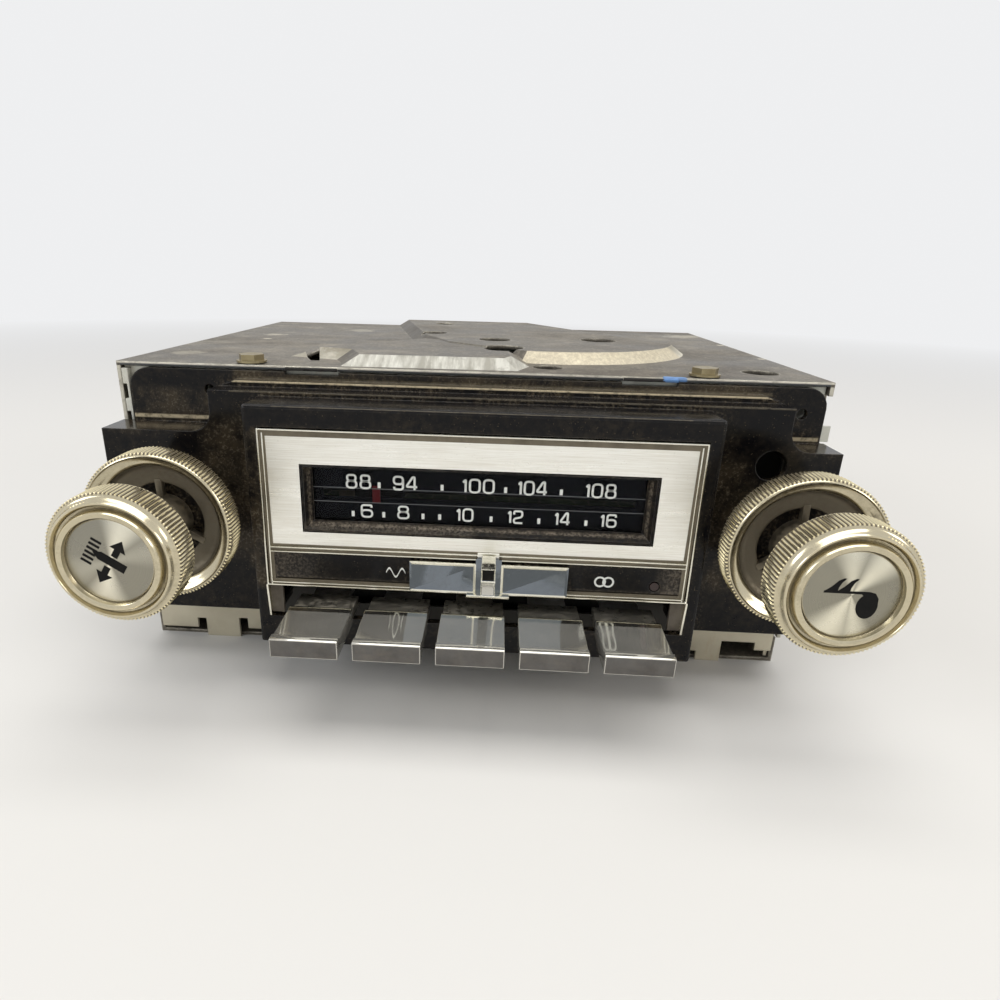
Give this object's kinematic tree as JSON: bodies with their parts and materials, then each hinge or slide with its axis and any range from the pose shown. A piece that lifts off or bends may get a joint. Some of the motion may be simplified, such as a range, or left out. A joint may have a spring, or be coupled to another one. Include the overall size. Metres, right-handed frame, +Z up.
{
  "type": "car radio",
  "caption": "Dash-mounted car radio with push buttons, a lit dial with a sliding pointer, a band slider and two pairs of concentric knobs on a flat sheet-metal case.",
  "frame": {"origin": "middle of the underside of the case, at the middle of its width and depth", "axes": "+X to the listener's right, +Y from the knobs to the rear wall, +Z up"},
  "size_m": [0.1868, 0.2083, 0.085],
  "materials": {
    "zinc_sheet": "satin",
    "cover_sheet": "dull, dusty",
    "screw_zinc": "yellow zinc",
    "housing_black": "gloss, dusty",
    "inner_black": "matt",
    "chrome_plastic": "polished",
    "brushed_plate": "brushed",
    "clear_lens": "clear",
    "red_plastic": "satin",
    "steel_parts": "satin",
    "brass_parts": "satin",
    "nylon_parts": "matt",
    "board_green": "satin",
    "tin_cans": "bright",
    "ferrite_parts": "matt",
    "sink_black": "black anodised"
  },
  "bodies": {
    "case": {"chassis": "zinc_sheet", "top_cover": "cover_sheet", "bottom_cover": "cover_sheet", "cover_screw_1": "screw_zinc", "cover_screw_2": "screw_zinc", "front_housing": "housing_black", "bezel_frame": "chrome_plastic", "trim_plate": "brushed_plate", "window_frame": "housing_black", "dial_lens": "clear_lens", "dial_scale": "inner_black", "light_box": "nylon_parts", "dial_lamp": "clear_lens", "indicator_strip": "inner_black", "indicator_jewel": "red_plastic", "band_switch": "nylon_parts", "button_guide": "zinc_sheet", "spring_1": "steel_parts", "spring_2": "steel_parts", "spring_3": "steel_parts", "spring_4": "steel_parts", "spring_5": "steel_parts", "bushing_left": "brass_parts", "bushing_right": "brass_parts", "panel_nut_left": "brass_parts", "panel_nut_right": "brass_parts", "tone_control": "tin_cans", "volume_control": "tin_cans", "wheel_stud": "steel_parts", "pointer_rail": "steel_parts", "tuner_block": "tin_cans", "circuit_board": "board_green", "filter_capacitor": "tin_cans", "heat_sink": "sink_black", "power_transistor_1": "tin_cans", "power_transistor_2": "tin_cans", "antenna_socket": "tin_cans", "power_connector": "nylon_parts", "speaker_connector": "nylon_parts"},
    "tuning": {"tuning_knob": "chrome_plastic", "tuning_shaft": "steel_parts", "drive_pinion": "brass_parts"},
    "wheel": {"tuning_wheel": "brass_parts"},
    "pointer": {"dial_pointer": "red_plastic"},
    "cores": {"core_bar": "ferrite_parts"},
    "tone": {"tone_ring": "chrome_plastic"},
    "volume": {"volume_knob": "chrome_plastic", "volume_shaft": "steel_parts"},
    "fader": {"fader_ring": "chrome_plastic"},
    "preset_1": {"button_1": "chrome_plastic", "plunger_1": "steel_parts"},
    "preset_2": {"button_2": "chrome_plastic", "plunger_2": "steel_parts"},
    "preset_3": {"button_3": "chrome_plastic", "plunger_3": "steel_parts"},
    "preset_4": {"button_4": "chrome_plastic", "plunger_4": "steel_parts"},
    "preset_5": {"button_5": "chrome_plastic", "plunger_5": "steel_parts"},
    "band": {"band_slider": "chrome_plastic"}
  },
  "joints": [
    {"name": "tuning_turn", "type": "hinge", "parent": "case", "child": "tuning", "pos_m": [-0.0686, -0.1, 0.04965], "axis": [0, 1, 0], "range_deg": [-98, 949]},
    {"name": "wheel_turn", "type": "hinge", "parent": "case", "child": "wheel", "pos_m": [-0.0462, -0.047, 0.04965], "axis": [0, 1, 0], "range_deg": [-316.4, 32.7]},
    {"name": "pointer_slide", "type": "slide", "parent": "case", "child": "pointer", "axis": [1, 0, 0], "range_m": [-0.006, 0.058]},
    {"name": "core_slide", "type": "slide", "parent": "case", "child": "cores", "axis": [0, 1, 0], "range_m": [-0.0015, 0.0145]},
    {"name": "tone_turn", "type": "hinge", "parent": "case", "child": "tone", "pos_m": [-0.0686, -0.1, 0.04965], "axis": [0, 1, 0], "range_deg": [-135, 135]},
    {"name": "volume_turn", "type": "hinge", "parent": "case", "child": "volume", "pos_m": [0.0772, -0.1, 0.04965], "axis": [0, 1, 0], "range_deg": [-70, 210]},
    {"name": "fader_turn", "type": "hinge", "parent": "case", "child": "fader", "pos_m": [0.0772, -0.1, 0.04965], "axis": [0, 1, 0], "range_deg": [-135, 135]},
    {"name": "preset_1_push", "type": "slide", "parent": "case", "child": "preset_1", "axis": [0, 1, 0], "range_m": [-0.003, 0.006], "stiffness_N_per_m": 500, "deforming": ["spring_1"]},
    {"name": "preset_2_push", "type": "slide", "parent": "case", "child": "preset_2", "axis": [0, 1, 0], "range_m": [-0.003, 0.006], "stiffness_N_per_m": 500, "deforming": ["spring_2"]},
    {"name": "preset_3_push", "type": "slide", "parent": "case", "child": "preset_3", "axis": [0, 1, 0], "range_m": [-0.003, 0.006], "stiffness_N_per_m": 500, "deforming": ["spring_3"]},
    {"name": "preset_4_push", "type": "slide", "parent": "case", "child": "preset_4", "axis": [0, 1, 0], "range_m": [-0.003, 0.006], "stiffness_N_per_m": 500, "deforming": ["spring_4"]},
    {"name": "preset_5_push", "type": "slide", "parent": "case", "child": "preset_5", "axis": [0, 1, 0], "range_m": [-0.003, 0.006], "stiffness_N_per_m": 500, "deforming": ["spring_5"]},
    {"name": "band_slide", "type": "slide", "parent": "case", "child": "band", "axis": [1, 0, 0], "range_m": [-0.006, 0]}
  ],
  "couplings": [
    {"joint": "wheel_turn", "follows": "tuning_turn", "ratio": -0.33333},
    {"joint": "pointer_slide", "follows": "tuning_turn", "m_per_rad": 0.0035},
    {"joint": "core_slide", "follows": "tuning_turn", "m_per_rad": 0.000875}
  ]
}
